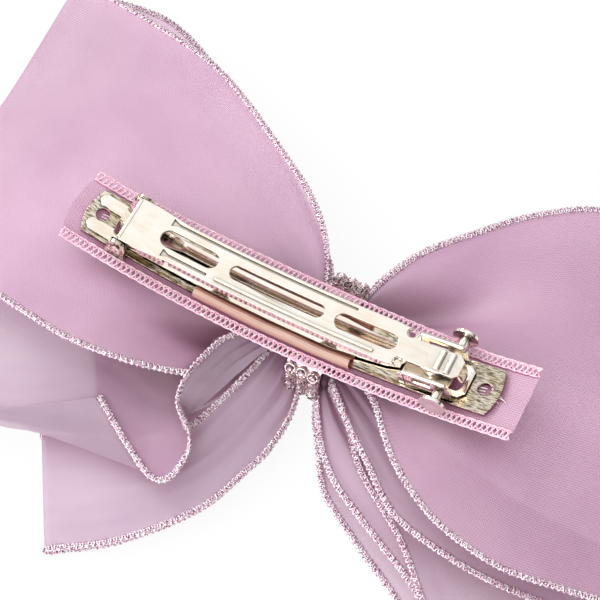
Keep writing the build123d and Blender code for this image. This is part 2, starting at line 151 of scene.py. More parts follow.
def plated_gold(name, colours, marks_mm, grain, grain_depth, mark_colour, unshaded_from):
    """Stamped and plated steel. Its marks have a size, a stretch, a depth and a colour. Painted shade
    darkens it towards dull brown in grooves and corners that see too little of the sky."""
    material = new_material(name)
    tree = material.node_tree
    place = add_node(tree, "ShaderNodeTexCoord")
    # rolling marks drawn out along the strip, coarser than the real ones, which are too fine to show
    rolled = add_node(tree, "ShaderNodeMapping", {"Rotation": (0, 0, 0.9), "Scale": grain},
                      {"Vector": place.outputs["Object"]})
    marks = add_node(tree, "ShaderNodeTexNoise",
                     {"Scale": 1 / (marks_mm * MM), "Detail": 5.0, "Roughness": 0.6},
                     {"Vector": rolled.outputs["Vector"]})
    # patches of thinner plating a few millimetres across
    patches = add_node(tree, "ShaderNodeTexNoise", {"Scale": 1 / (4.0 * MM), "Detail": 2.0},
                       {"Vector": place.outputs["Object"]})
    tint = add_node(tree, "ShaderNodeValToRGB", {}, {"Fac": patches.outputs["Fac"]})
    colour_stops(tint, [(0.3, colours[0]), (0.7, colours[1])])
    streaks = add_node(tree, "ShaderNodeValToRGB", {}, {"Fac": marks.outputs["Fac"]})
    colour_stops(streaks, [(0.38, mark_colour), (0.56, "#FFFFFF")])
    worn = add_node(tree, "ShaderNodeMix", {"data_type": "RGBA", "blend_type": "MULTIPLY", 0: 1.0},
                    {6: tint.outputs["Color"], 7: streaks.outputs["Color"]})
    # painted shade: grooves and corners that see little of the sky are darkened to dull brown
    sky_seen_share = add_node(tree, "ShaderNodeAmbientOcclusion", {"samples": 6, "Distance": 1.4 * MM})
    painted_recess_shade = add_node(tree, "ShaderNodeValToRGB", {}, {"Fac": sky_seen_share.outputs["AO"]})
    colour_stops(painted_recess_shade, [(unshaded_from / 2, "#54402C"), (unshaded_from, "#FFFFFF")])
    colour = add_node(tree, "ShaderNodeMix", {"data_type": "RGBA", "blend_type": "MULTIPLY", 0: 1.0},
                      {6: worn.outputs[2], 7: painted_recess_shade.outputs["Color"]})
    rough = add_node(tree, "ShaderNodeMapRange", {"To Min": 0.05, "To Max": 0.16},
                     {"Value": marks.outputs["Fac"]})
    edge = add_node(tree, "ShaderNodeBevel", {"samples": 4, "Radius": 0.14 * MM})
    bump = add_node(tree, "ShaderNodeBump", {"Strength": grain_depth, "Distance": 0.03 * MM},
                    {"Height": marks.outputs["Fac"], "Normal": edge.outputs["Normal"]})
    shader = add_node(tree, "ShaderNodeBsdfPrincipled", {"Metallic": 1.0},
                      {"Base Color": colour.outputs[2], "Roughness": rough.outputs["Result"],
                       "Normal": bump.outputs["Normal"]})
    add_node(tree, "ShaderNodeOutputMaterial", {}, {"Surface": shader.outputs[0]})
    return material


polished = plated_gold("gold_plated_steel_tumbled", ("#FAF1E4", "#FFFCF6"), 0.9, (0.15, 1.0, 1.0), 0.02,
                       "#FBF8F3", 0.92)
brushed = plated_gold("gold_plated_steel_brushed", ("#DCCDAF", "#FCF5EA"), 0.5, (0.3, 2.0, 1.0), 0.35,
                      "#7E7562", 0.85)
rolled_spring = plated_gold("gold_plated_spring_steel", ("#FBF0E2", "#FFFDF8"), 0.9, (0.15, 1.0, 1.0),
                            0.02, "#F9F4EC", 0.3)
for part, finish in (("base_plate", brushed), ("spring_leaf", rolled_spring), ("clamp_arm", polished),
                     ("catch_bracket", polished), ("catch_rivet", polished),
                     ("catch_wing_near", polished), ("catch_wing_far", polished),
                     ("finger_button_near", polished), ("finger_button_far", polished)):
    metal_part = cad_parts[part]
    metal_part.data.materials.clear()
    metal_part.data.materials.append(finish)

# ---------------------------------------------------------------- sheer wrap round the base
# A strip of salmon satin organza wound once round the middle of the base plate under the leaf,
# so that the bow can be sewn to it. The gold hardly shows through it.

barrette_low, barrette_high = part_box("base_plate")
barrette_x = (barrette_low.x + barrette_high.x) / 2
curve_radius = 132.0         # of the underside of the backing ribbon, in mm like the next four
seat_z = 16.4                # height of that underside at the barrette's middle
ribbon_thick = 0.4
wrap_thick = 0.3
film_gaps = 0.1              # air under and over the wrap
base_radius = (curve_radius - ribbon_thick - wrap_thick - film_gaps) * MM    # underside of the base plate
curve_z = (seat_z + curve_radius) * MM                                       # what all of it is curved round


def curved(x, y, height):
    """A place over the base plate's curve: x from its middle, height above its underside."""
    angle = x / base_radius
    reach = base_radius - height
    return Vector((barrette_x + reach * sin(angle), y, curve_z - reach * cos(angle)))


def arc_place(x):
    """How far along the curve a world X is."""
    return base_radius * asin((x - barrette_x) / base_radius)


def smooth_line(points, count):
    """Evenly spaced places along a smooth curve through points given in millimetres."""
    knots = [Vector(p) * MM for p in points]
    knots = [2 * knots[0] - knots[1]] + knots + [2 * knots[-1] - knots[-2]]
    fine = []
    for a, b, c, d in zip(knots, knots[1:], knots[2:], knots[3:]):
        for k in range(20):
            t = k / 20
            fine.append(b + 0.5 * ((c - a) * t + (2 * a - 5 * b + 4 * c - d) * t * t
                                   + (3 * b - a - 3 * c + d) * t ** 3))
    fine.append(knots[-2])
    reach = [0.0]
    for a, b in zip(fine, fine[1:]):
        reach.append(reach[-1] + (b - a).length)
    line, j = [], 0
    for k in range(count):
        want = reach[-1] * k / (count - 1)
        while j < len(fine) - 2 and reach[j + 1] < want:
            j += 1
        line.append(fine[j].lerp(fine[j + 1], min(1.0, (want - reach[j]) / (reach[j + 1] - reach[j]))))
    return line


def mesh_piece(name, vertices, faces, material, uvs=None):
    """A smooth-shaded mesh object, with one texture place for each vertex if they are given."""
    mesh = bpy.data.meshes.new(name)
    mesh.from_pydata(vertices, [], faces)
    if uvs:
        layer = mesh.uv_layers.new(name="UVMap")
        for loop in mesh.loops:
            layer.data[loop.index].uv = uvs[loop.vertex_index]
    mesh.materials.append(material)
    mesh.polygons.foreach_set("use_smooth", [True] * len(mesh.polygons))
    mesh.update()
    piece = bpy.data.objects.new(name, mesh)
    bpy.context.scene.collection.objects.link(piece)
    return piece


def grid_faces(rows, columns, closed=False):
    """Quads over a grid of vertices laid down row by row; closed joins the last column to the first."""
    faces = []
    for i in range(rows - 1):
        for j in range(columns if closed else columns - 1):
            k = (j + 1) % columns
            faces.append((i * columns + j, i * columns + k, (i + 1) * columns + k, (i + 1) * columns + j))
    return faces


def organza(name, light_colour, dark_colour, fold_shade_colour, thread_mm, cover, bloom):
    """Woven sheer cloth: two sets of fine threads cover part of it, glow when lit from behind and shine
    silkily."""
    material = new_material(name)
    tree = material.node_tree
    place = add_node(tree, "ShaderNodeTexCoord")
    weft = add_node(tree, "ShaderNodeTexWave", {"wave_type": "BANDS", "bands_direction": "DIAGONAL",
                    "Scale": 0.444 / (thread_mm * MM), "Distortion": 0.8, "Detail": 1.0},
                    {"Vector": place.outputs["UV"]})
    warp = add_node(tree, "ShaderNodeTexWave", {"wave_type": "BANDS", "bands_direction": "Y",
                    "Scale": 0.314 / (thread_mm * MM), "Distortion": 0.5, "Detail": 1.0},
                    {"Vector": place.outputs["UV"]})
    weave = add_node(tree, "ShaderNodeMath", {"operation": "MULTIPLY_ADD", 1: 0.6},
                     {0: weft.outputs["Fac"], 2: warp.outputs["Fac"]})
    slubs = add_node(tree, "ShaderNodeTexNoise", {"Scale": 1 / (22 * MM), "Detail": 3.0},
                     {"Vector": place.outputs["UV"]})
    mix = add_node(tree, "ShaderNodeMath", {"operation": "MULTIPLY_ADD", 1: 0.38},
                   {0: weave.outputs[0], 2: slubs.outputs["Fac"]})
    tint = add_node(tree, "ShaderNodeValToRGB", {}, {"Fac": mix.outputs[0]})
    colour_stops(tint, [(0.40, dark_colour), (1.0, light_colour)])
    bump = add_node(tree, "ShaderNodeBump", {"Strength": 0.8, "Distance": 0.06 * MM},
                    {"Height": weave.outputs[0]})
    # painted shade: where little of the sky reaches, in folds and under other layers, the colour is tinted
    # deeper towards the fold colour, standing in for light bounced between the dyed layers
    open_sky = add_node(tree, "ShaderNodeAmbientOcclusion", {"samples": 6, "Distance": 12 * MM})
    folds = add_node(tree, "ShaderNodeValToRGB", {}, {"Fac": open_sky.outputs["AO"]})
    colour_stops(folds, [(0.26, fold_shade_colour), (0.76, "#FFFFFF")])
    fold_shaded_colour = add_node(tree, "ShaderNodeMix", {"data_type": "RGBA", "blend_type": "MULTIPLY", 0: 1.0},
                    {6: tint.outputs["Color"], 7: folds.outputs["Color"]})
    threads = {"Color": fold_shaded_colour.outputs[2], "Normal": bump.outputs["Normal"]}
    lit = add_node(tree, "ShaderNodeBsdfDiffuse", {}, threads)
    glowing = add_node(tree, "ShaderNodeBsdfTranslucent", {}, threads)
    body = add_node(tree, "ShaderNodeMixShader", {0: 0.38}, {1: lit.outputs[0], 2: glowing.outputs[0]})
    silk = add_node(tree, "ShaderNodeBsdfGlossy", {"Roughness": 0.52}, {"Normal": bump.outputs["Normal"]})
    shiny = add_node(tree, "ShaderNodeMixShader", {0: bloom}, {1: body.outputs[0], 2: silk.outputs[0]})
    clear = add_node(tree, "ShaderNodeBsdfTransparent")
    seen = add_node(tree, "ShaderNodeMixShader", {0: cover}, {1: clear.outputs[0], 2: shiny.outputs[0]})
    add_node(tree, "ShaderNodeOutputMaterial", {}, {"Surface": seen.outputs[0]})
    return material


salmon_organza = organza("sheer_wrap_satin", "#FFD2BC", "#F6B8A0", "#D9A58E", 0.35, 0.96, 0.20)
wrap_low, wrap_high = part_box("centre_wrap")
wrap_start, wrap_end = arc_place(wrap_low.x), arc_place(wrap_high.x)
# its section, (y, height above the plate's underside): flat below, standing up loosely beside the leaf
section = [(0, -0.18, 0), (3.4, -0.18, 0), (4.8, -0.12, 0), (5.1, 0.6, 0), (5.25, 1.7, 0), (4.9, 2.7, 0),
           (4.2, 2.9, 0), (3.75, 2.2, 0), (3.5, 1.1, 0), (2.4, 0.82, 0), (0, 0.8, 0)]
outline = smooth_line(section, 26)
outline += [Vector((-place.x, place.y, 0)) for place in outline[-2:0:-1]]
wrap_round = 24              # length of the strip once round, in mm
wrap_rows = 60
wrap_points, wrap_uvs = [], []
for i in range(wrap_rows):
    x = wrap_start + (wrap_end - wrap_start) * i / (wrap_rows - 1)
    for j, place in enumerate(outline):
        wrinkle = 0.09 * MM * noise.noise(Vector((x / (2.6 * MM), j * 0.35, 3)))
        sag = 1 - 0.10 * (1 + noise.noise(Vector((x / (6 * MM), 0, 9))))
        height = place.y * (sag if place.y > 0 else 1) + wrinkle
        wrap_points.append(curved(x, place.x + (wrinkle if place.x > 0 else -wrinkle), height))
        wrap_uvs.append((x, wrap_round * MM * j / len(outline)))
wrap = mesh_piece("sheer_wrap", wrap_points, grid_faces(wrap_rows, len(outline), closed=True),
                  salmon_organza, wrap_uvs)
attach(wrap, "bow_and_base")
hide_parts("centre_wrap")

# ---------------------------------------------------------------- backing ribbon
# A flat organza ribbon glued under the base. Its cut ends fray a little, and both long edges are
# overlocked with a looped pink nylon thread that stands out as a row of small eyes.


def add_thread(vertices, faces, line, radius, sides=4):
    """Add a round thread along a line of places to a mesh that is being made."""
    across = None
    first = len(vertices)
    for i, place in enumerate(line):
        ahead = (line[min(i + 1, len(line) - 1)] - line[max(i - 1, 0)]).normalized()
        if across is None:
            across = ahead.orthogonal()
        across = (across - ahead * across.dot(ahead)).normalized()
        up = ahead.cross(across)
        for j in range(sides):
            angle = 2 * pi * j / sides
            vertices.append(place + across * radius * cos(angle) + up * radius * sin(angle))
    faces += [tuple(first + v for v in face) for face in grid_faces(len(line), sides, closed=True)]
    faces.append(tuple(first + j for j in reversed(range(sides))))
    faces.append(tuple(len(vertices) - sides + j for j in range(sides)))


def spun_thread(name, stops, metallic, roughness, grain_mm):
    """Thread: colour breaks up over the length of one stitch; metallised thread glitters, partly through its
    metallic shine and partly through painted glints in its colours.
    """
    material = new_material(name)
    tree = material.node_tree
    place = add_node(tree, "ShaderNodeTexCoord")
    twist = add_node(tree, "ShaderNodeTexNoise", {"Scale": 1 / (grain_mm * MM), "Detail": 2.0},
                     {"Vector": place.outputs["Object"]})
    tint = add_node(tree, "ShaderNodeValToRGB", {}, {"Fac": twist.outputs["Fac"]})
    colour_stops(tint, stops)
    bump = add_node(tree, "ShaderNodeBump", {"Strength": 0.5, "Distance": 0.05 * MM},
                    {"Height": twist.outputs["Fac"]})
    shader = add_node(tree, "ShaderNodeBsdfPrincipled", {"Metallic": metallic, "Roughness": roughness},
                      {"Base Color": tint.outputs["Color"], "Normal": bump.outputs["Normal"]})
    add_node(tree, "ShaderNodeOutputMaterial", {}, {"Surface": shader.outputs[0]})
    return material


backing_organza = organza("backing_ribbon_organza", "#EBC3DB", "#D9A3C3", "#C0799C", 0.4, 0.92, 0.12)
strip_low, strip_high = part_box("backing_ribbon")
strip_start, strip_end = arc_place(strip_low.x), arc_place(strip_high.x)
strip_half_y = strip_high.y + 0.4 * MM
strip_rows, strip_columns = 90, 16


def edge_rise(x, v):
    """How far the ribbon's free far edge stands up off the base between the two glued ends."""
    return 1.7 * MM * max(0, v) ** 4 * max(0, 1 - (x / (36 * MM)) ** 2)


strip_points, strip_uvs = [], []
for i in range(strip_rows):
    for j in range(strip_columns):
        v = 2 * j / (strip_columns - 1) - 1
        x = strip_start + (strip_end - strip_start) * i / (strip_rows - 1)
        end = x / (strip_end if x > 0 else strip_start)
        fray = (0.25 if x < 0 else 0.15) * MM
        ragged = fray * noise.noise(Vector((j * 0.9, 0.3 if x > 0 else 7.3, 1))) * (end > 0.985)
        bow_out = (x < 0) * end ** 30 * 1.0 * MM * (v * v - 1)
        lift = 0.25 * MM * end ** 6 * noise.noise(Vector((x / (5 * MM), v * 2, 5))) + edge_rise(x, v)
        y = strip_half_y * v + 0.3 * edge_rise(x, v)
        strip_points.append(curved(x + ragged + bow_out, y, lift - 0.42 * MM))
        strip_uvs.append((x, strip_half_y * v))
backing = mesh_piece("backing_ribbon_cloth", strip_points, grid_faces(strip_rows, strip_columns),
                     backing_organza, strip_uvs)
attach(backing, "bow_and_base")
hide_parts("backing_ribbon")

pink_nylon = spun_thread("overlock_nylon_pink", [(0.3, "#F2AECD"), (0.5, "#FCCFE3"), (0.7, "#FFF0F7")],
                         0.0, 0.4, 0.5)
for side, word in ((-1, "near"), (1, "far")):
    edge_low, edge_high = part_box(f"backing_edge_{word}")
    edge_y = (edge_low.y + edge_high.y) / 2
    half_width = 0.95 * MM
    stitch = 1.9 * MM                      # two crossing threads make an eye every half stitch
    steps = 10
    strip_length = strip_end - strip_start
    count = int(strip_length / stitch * steps)
    vertices, faces = [], []
    for phase in (0, pi):
        zigzag = []
        for k in range(count + 1):
            x = strip_start + strip_length * k / count
            turn = 2 * pi * k / steps + phase
            rise = edge_rise(x, side)
            zigzag.append(curved(x, edge_y + half_width * 0.78 * sin(turn) + 0.3 * rise,
                                 rise - 0.2 * MM + 0.14 * MM * cos(turn)))
        add_thread(vertices, faces, zigzag, 0.19 * MM)
    for rail in (-0.9, 0.9):
        line = []
        for k in range(count // 2 + 1):
            x = min(strip_start + strip_length * 2 * k / count, strip_end)
            rise = edge_rise(x, side)
            wander = 0.05 * MM * sin(4 * pi * k / steps)
            line.append(curved(x, edge_y + half_width * rail + wander + 0.3 * rise, rise - 0.22 * MM))
        add_thread(vertices, faces, line, 0.21 * MM)
    overlock = mesh_piece(f"overlock_{word}", vertices, faces, pink_nylon)
    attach(overlock, "bow_and_base")
    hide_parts(f"backing_edge_{word}")

# ---------------------------------------------------------------- tacking stitches
# White polyester thread that tacks the ribbon to the bow under each sewing hole, with three cut
# ends left sticking out past the catch end of the plate.

white_thread = spun_thread("polyester_thread_white", [(0.3, "#E9CFDF"), (0.7, "#FFF4FA")], 0.0, 0.5, 0.2)
bars_x = 37.15               # where the bars are, along the curve from the barrette's middle, in mm
tail_x = 39.6                # where the cut ends begin, measured the same way
for side, word in ((-1, "hinge"), (1, "catch")):
    vertices, faces = [], []
    for row in (-0.6, 0.0, 0.6):
        bar = []
        for k in range(13):
            t = 2 * k / 12 - 1
            x = side * bars_x * MM + 0.85 * MM * t
            bar.append(curved(x, (row + 0.12 * t) * MM, (-0.33 + 0.12 * (1 - t * t)) * MM))
        add_thread(vertices, faces, bar, 0.15 * MM, sides=6)
    if side > 0:
        for reach, turn in ((1.9, 0.5), (2.6, -0.35), (1.4, -1.1)):
            tail = []
            for k in range(11):
                t = k / 10
                x = (tail_x + reach * t) * MM
                y = (-0.8 + turn * t + 0.5 * sin(3 * t + turn)) * MM
                tail.append(curved(x, y, (-0.30 + 0.35 * sin(pi * t)) * MM))
            add_thread(vertices, faces, tail, 0.10 * MM, sides=6)
    tack = mesh_piece(f"tacking_thread_{word}", vertices, faces, white_thread)
    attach(tack, "bow_and_base")
    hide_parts(f"stitches_{word}_end")

# ---------------------------------------------------------------- the bow's ribbon
# One wide satin organza ribbon, folded into loops and pinched in the middle. Each loop is a single
# cloth that runs out along the back, round a fold and home along the front. Silver and pink
# metallised thread is overlocked over both of its edges.

# both carry painted fold shade; the second is a lighter copy of the first, painted light for the under
# layers that lie in shade
bow_organza = organza("satin_organza_mauve_main", "#EFBFDF", "#CF8FBF", "#882A57", 0.42, 0.80, 0.22)
bow_organza_painted_lighter = organza("satin_organza_mauve_painted_lighter", "#FCDFF6", "#E2B4DC", "#C78CAC", 0.42, 0.84, 0.28)
# the thread's silver and pinks, broken up along it, with a darker and a pure white stop added as painted
# shade and painted glints for its sparkle
silver_pink_and_painted_glints = [(0.36, "#93607F"), (0.45, "#DFB0CA"), (0.53, "#FBEEF5"), (0.60, "#FFFFFF")]
metallised_thread = spun_thread("metallised_thread_silver_pink", silver_pink_and_painted_glints, 0.3, 0.25, 0.33)
ribbon_width = 75 * MM
fold_steps = 9


def loop_line(back_points, front_points, out, steps=64):
    """One edge of a loop: from the knot along the back, round the fold, home along the front."""
    outward = smooth_line(back_points, steps)
    homeward = smooth_line(front_points, steps)
    middle = (outward[-1] + homeward[-1]) / 2
    half = (outward[-1] - homeward[-1]) / 2
    turns = [pi * k / fold_steps for k in range(1, fold_steps)]
    fold = [middle + half * cos(t) + Vector(out) * MM * sin(t) for t in turns]
    return outward + fold + homeward[::-1]


def cloth(name, near, far, columns, pleat, swell, seed, both_ends=True, crown=0.0,
          dip=0.0, dip_at=0.3, dip_from=14, face=False):
    """Cloth between two edge lines, depths in mm: pleats die away from the knot, the rest swells softly, and
    one deep fold may run out from the knot. With face set it takes a lighter copy of the organza, painted
    light that lifts layers lying in shade under others."""
    rows = len(near)
    length = [0.0]
    for i in range(1, rows):
        length.append(length[-1] + ((near[i] + far[i]) / 2 - (near[i - 1] + far[i - 1]) / 2).length)
    points, uvs = [], []
    for i in range(rows):
        from_knot = min(length[i], length[-1] - length[i]) if both_ends else length[i]
        gathered = exp(-from_knot / (15 * MM))
        for j in range(columns):
            v = j / (columns - 1)
            place = near[i].lerp(far[i], v)
            shy = sin(pi * v) ** 0.6
            folds = sin(2 * pi * (3.5 * v + 0.13 * seed)) + 0.5 * sin(2 * pi * (6.5 * v + 0.31 * seed))
            soft = noise.noise(Vector((place.x / (26 * MM), place.y / (19 * MM), seed)))
            fan = noise.noise(Vector((v * 6, seed * 1.7, from_knot / (60 * MM))))
            radiate = exp(-((from_knot / MM - 16) / 22) ** 2)
            place.z += shy * (pleat * gathered * folds + swell * soft * (1 - gathered)
                              + 0.8 * swell * radiate * fan) * MM
            place.z += crown * MM * 4 * v * (1 - v) * (1 - gathered)
            valley = exp(-((v - dip_at) / 0.10) ** 2 - ((from_knot / MM - dip_from) / 13) ** 2)
            place.z -= dip * MM * valley * (length[i] < length[-1] / 2)
            points.append(place)
            uvs.append((length[i], ribbon_width * v))
    piece = mesh_piece(name, points, grid_faces(rows, columns), bow_organza_painted_lighter if face else bow_organza,
                       uvs)
    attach(piece, "bow_and_base")
    return piece, [points[i * columns:(i + 1) * columns] for i in range(rows)]


def overlocked_hem(name, edge, inner, half_width=0.58, pitch=1.0):
    """The overlocked edge: a flat core with two metallised threads wound over it, one each way."""
    reach = [0.0]
    for a, b in zip(edge, edge[1:]):
        reach.append(reach[-1] + (b - a).length)
    turns = reach[-1] / (pitch * MM)
    steps = 9
    count = int(turns * steps)
    frames, j = [], 0
    for k in range(count + 1):
        want = reach[-1] * k / count
        while j < len(edge) - 2 and reach[j + 1] < want:
            j += 1
        t = min(1.0, (want - reach[j]) / max(reach[j + 1] - reach[j], 1e-9))
        ahead = (edge[j + 1] - edge[j]).normalized()
        inward = inner[j].lerp(inner[j + 1], t) - edge[j].lerp(edge[j + 1], t)
        inward = (inward - ahead * inward.dot(ahead)).normalized()
        frames.append((edge[j].lerp(edge[j + 1], t), inward, ahead.cross(inward)))
    vertices, faces = [], []
    for direction, offset in ((1, 0.0), (-1, 0.9)):
        wound = []
        for k, (place, inward, up) in enumerate(frames):
            uneven = 1 + 0.16 * noise.noise(Vector((k * 0.21, direction * 3.0, len(edge))))
            turn = direction * 2 * pi * k / steps + offset
            wound.append(place + inward * (half_width * MM * (0.55 + uneven * cos(turn)))
                         + up * (0.26 * MM * sin(turn)))
        add_thread(vertices, faces, wound, 0.155 * MM)
    core = [place + inward * (half_width * 0.55 * MM) for place, inward, up in frames[::3]]
    for shift in (-0.6, 0.0, 0.6):
        aside = shift * half_width * MM
        strand = [place + frames[min(3 * k, count)][1] * aside for k, place in enumerate(core)]
        add_thread(vertices, faces, strand, 0.17 * MM)
    hem = mesh_piece(name, vertices, faces, metallised_thread)
    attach(hem, "bow_and_base")
    return hem


def hems_of(name, rows, sides=("near", "far")):
    """Hems along the chosen long edges of a cloth grid."""
    hems = []
    if "near" in sides:
        hems.append(overlocked_hem(f"{name}_hem_near", [row[0] for row in rows], [row[1] for row in rows]))
    if "far" in sides:
        hems.append(overlocked_hem(f"{name}_hem_far", [row[-1] for row in rows], [row[-2] for row in rows]))
    return hems


# ---------------------------------------------------------------- main loops
# The two biggest loops lie nearest the barrette, one to each side. Their cloth is pinched into
# pleats at the knot and dips into one deep fold before it opens out flat.

left_near = loop_line(
    [(-3.4, -4, 8.6), (-10.6, -10.2, 8.4), (-16.7, -17.6, 16.2), (-24, -21, 19.2), (-31.5, -22.5, 20.3),
     (-39.5, -22.9, 20.6), (-52.6, -21.2, 20.1), (-66, -18.5, 17), (-73, -17, 14.5)],
    [(-3.4, -5, 8), (-8, -9, 7.2), (-20, -16, 6.4), (-40, -22, 5.4), (-60, -20, 5), (-73, -17.5, 6)],
    (-4.5, -0.5, 0))
left_far = loop_line(
    [(-3.4, 8.6, 13.5), (-5.9, 14.5, 14.2), (-9.2, 19.8, 14.3), (-14.8, 25.5, 14), (-22.2, 30.9, 13),
     (-40.2, 42.4, 10.9), (-53, 47.3, 9.8), (-72.5, 52.1, 6.6), (-81, 53.6, 4.4)],
    [(-3.4, 9.6, 8), (-7.6, 19, 5.3), (-24, 34, 3.4), (-40.9, 45.2, 1.8), (-62, 56, 0.9), (-81, 54.6, 1.6)],
    (-3, 0, 0))
left_loop, left_rows = cloth("main_loop_left_cloth", left_near, left_far, 56, 0.8, 0.7, 1, crown=-1.2,
                             dip=6.0, dip_at=0.22, dip_from=15)
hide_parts("main_loop_left")
hems_of("main_loop_left", left_rows)

right_near = loop_line(
    [(3.4, -3.4, 13.4), (7, -4.2, 14.4), (10.6, -5.6, 15.3), (14.4, -8.4, 16.1), (18.1, -12.9, 17),
     (22.5, -17.5, 18.3), (28.5, -21.9, 20), (34.9, -24.9, 20.8), (45.5, -26.7, 21.1), (55.6, -25.3, 20.5),
     (66, -22.8, 18.4), (77, -20, 14)],
    [(3.4, -4, 8.5), (14, -10, 8), (28, -20, 7), (45, -25, 6), (62, -24, 5.5), (77, -20.5, 6)],
    (5, 0, 0))
right_far = loop_line(
    [(2.8, 8.6, 13.5), (4.6, 15.2, 14), (6.2, 19.5, 14.2), (8.9, 24.5, 14.2), (14.8, 31.8, 13.7),
     (22.7, 41.2, 11.9), (33.6, 49.9, 9.6), (50, 55, 7.2), (66, 56.4, 5.6), (78, 56, 4.6)],
    [(2.4, 9.8, 8), (2.4, 19, 5), (6.8, 28.4, 5.1), (12.6, 35.8, 4.2), (20.4, 45.2, 2), (31.6, 54.2, 1.1),
     (46, 58.8, 0.9), (64, 59, 0.9), (78, 56.8, 1.4)],
    (4, 0, 0))
right_loop, right_rows = cloth("main_loop_right_cloth", right_near, right_far, 56, 0.8, 0.7, 2,
                               crown=-1.2, dip=7.0, dip_at=0.66, dip_from=13)
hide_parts("main_loop_right")
hems_of("main_loop_right", right_rows)

# ---------------------------------------------------------------- left lower loop
# A smaller loop of the same ribbon that hangs under the left main loop and rests on the floor.
# Only the strip of it that shows is made, with a hem on both edges.

low_left_near = loop_line(
    [(-1.6, -4.6, 8.5), (-0.3, -8, 6.2), (0.5, -13.2, 5.2), (0, -19.9, 5.2), (-1.4, -24.9, 5.2),
     (-5.7, -35.4, 5), (-15.4, -46.5, 4.4), (-25.6, -53.2, 3.2)],
    [(-1.8, -4.4, 6.6), (-0.9, -7.2, 3.6), (-0.7, -18.8, 2), (-2.2, -23.5, 1.6), (-6.4, -34.3, 1.2),
     (-15.9, -45.7, 1), (-25.6, -53, 1.1)],
    (-1.2, -0.6, 0))
low_left_far = loop_line(
    [(-4.6, -0.4, 12.2), (-7, -2.2, 12.2), (-10.1, -12.2, 10), (-14.3, -23.3, 8.2), (-20, -29, 6.8),
     (-29, -31.5, 5.4), (-37.4, -34.2, 3.6)],
    [(-4.6, -2, 8), (-14, -16, 2.2), (-24, -27, 1.5), (-37.4, -34.8, 1.4)],
    (-1.2, -0.6, 0))
low_left, low_left_rows = cloth("lower_loop_left_cloth", low_left_near, low_left_far, 40, 0.7, 0.6, 3,
                                face=True)
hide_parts("lower_loop_left")
hems_of("lower_loop_left", low_left_rows)

# ---------------------------------------------------------------- left middle loop
# A loop between the other two. Its cloth comes off the knot over the main loop's edge and curls
# under, so that a flap, a turned strip and two deeper layers of it show one below the other.

curl_hem = [(-10.4, -3.1, 15.1), (-14.5, -7.7, 15.8), (-15.8, -11.1, 16.6), (-16.9, -18.4, 17.9),
            (-16.6, -22.9, 15), (-12.9, -25.7, 12)]
curl_near = smooth_line([(-4, -2.6, 14.2)] + curl_hem, 60)
curl_far = smooth_line([(-5.4, -3.4, 14), (-7.6, -6, 13.3), (-10.3, -11.4, 11.6), (-13.3, -18.9, 10),
                        (-15.4, -23.6, 9.8), (-14.6, -25.2, 9.8)], 60)
curl, curl_rows = cloth("middle_loop_left_curl", curl_near, curl_far, 20, 0.3, 0.3, 4, both_ends=False,
                        face=True)
hems_of("middle_loop_left_curl", curl_rows, ("near",))

flap_near = smooth_line(
    [(-16.6, -22.9, 14.6), (-12.9, -25.7, 12), (-11.4, -29.1, 10.2), (-12.2, -34.1, 9.2),
     (-15.6, -35.4, 9.2), (-22.3, -32, 9.3), (-28.8, -27.9, 9.4), (-31, -26.4, 9.4)], 70)
flap_far = smooth_line(
    [(-17, -20, 12), (-18, -17, 10.5), (-20, -15, 10.2), (-24, -14, 10.2), (-28, -13.5, 10.2),
     (-33, -13, 10.2), (-37, -14, 10), (-38, -16, 9.9)], 70)
flap, flap_rows = cloth("middle_loop_left_flap", flap_near, flap_far, 26, 0.0, 0.4, 5, crown=0.5)
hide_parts("middle_panel_left")
hems_of("middle_loop_left_flap", flap_rows, ("near",))

turned_near = smooth_line([(-15.8, -34.6, 8.6), (-36, -36.6, 8.2), (-45, -38.8, 8), (-62, -40, 7),
                           (-68, -38, 6)], 50)
turned_far = smooth_line([(-31.6, -26.6, 9), (-38, -31, 8.8), (-46, -36, 8.6), (-58, -37.2, 8),
                          (-66, -36, 7)], 50)
turned = cloth("middle_loop_left_turned", turned_near, turned_far, 12, 0.0, 0.15, 6, face=True)[0]

# below the flap, the back and the front of the same loop run on outwards
under_near = smooth_line([(-6, -6, 9.4), (-11.5, -18, 8.6), (-15.6, -24.4, 8.2), (-19.8, -27.7, 8.2),
                          (-24.1, -30.1, 8), (-31, -27.5, 8), (-38, -31.3, 8), (-46, -36, 7.8),
                          (-58, -37.4, 7.4), (-66, -36, 6.6)], 70)
under_far = smooth_line([(-5, 0, 10), (-22, -6, 9.8), (-36, -10, 9.8), (-52, -12, 9.2), (-68, -12, 8)], 70)
under = cloth("middle_loop_left_under", under_near, under_far, 24, 0.0, 0.4, 7, both_ends=False,
              face=True)[0]

front_near = smooth_line([(-6, -5, 7.8), (-14, -18, 7.6), (-24, -29, 7), (-37.7, -35.7, 6.2),
                          (-41.9, -36.1, 6.2), (-45.3, -37.2, 6.2), (-56, -40, 5.8), (-68, -38, 5)], 70)
front_far = smooth_line([(-5, 0, 8.6), (-22, -8, 8.2), (-36, -12, 7.6), (-52, -14, 6.6), (-68, -14, 5.4)],
                        70)
front, front_rows = cloth("middle_loop_left_front", front_near, front_far, 24, 0.0, 0.3, 11,
                          both_ends=False)
hems_of("middle_loop_left_front", front_rows, ("near",))

# ---------------------------------------------------------------- right middle loop
# A loop between the right main loop and the lower one. Two layers of it show, and their hems fan
# out below the main loop's.

